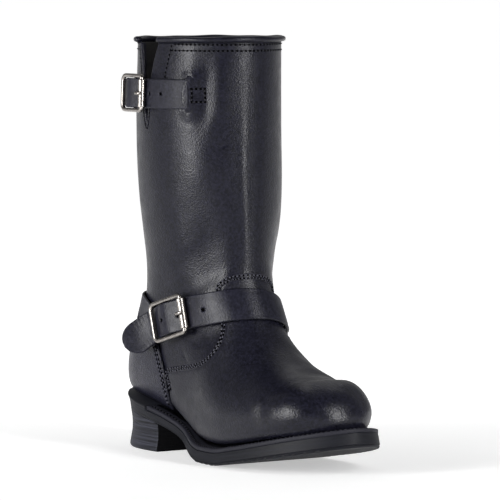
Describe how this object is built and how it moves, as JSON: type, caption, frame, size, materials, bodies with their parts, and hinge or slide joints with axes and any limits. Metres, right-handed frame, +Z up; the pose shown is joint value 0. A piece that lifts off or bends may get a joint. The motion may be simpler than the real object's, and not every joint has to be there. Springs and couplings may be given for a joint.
{
  "type": "motorcycle boot",
  "caption": "Right pull-on engineer boot in black leather: tall slit shaft, instep and top straps with roller buckles, welted sole with a block heel.",
  "frame": {"origin": "middle of the boot's box in plan, at the floor under its heel and forefoot", "axes": "+X towards the toe, +Y towards the inner side of the right foot, +Z up"},
  "size_m": [0.2974, 0.1254, 0.3371],
  "materials": {
    "black_leather": "oiled, satin",
    "strap_leather": "satin",
    "black_rubber": "matt",
    "insole_leather": "plain",
    "nickel_plate": "nickel plated, lightly brushed"
  },
  "bodies": {
    "root": {"outsole": "black_rubber", "heel": "black_rubber", "welt": "strap_leather", "insole": "insole_leather", "upper": "black_leather", "vamp": "black_leather", "counter": "black_leather", "collar_binding": "black_leather", "instep_strap": "strap_leather", "instep_chape": "strap_leather", "instep_buckle_frame": "nickel_plate", "instep_roller": "nickel_plate", "instep_prong": "nickel_plate", "top_strap": "strap_leather", "top_chape": "strap_leather", "top_buckle_frame": "nickel_plate", "top_roller": "nickel_plate", "top_prong": "nickel_plate"}
  },
  "joints": []
}
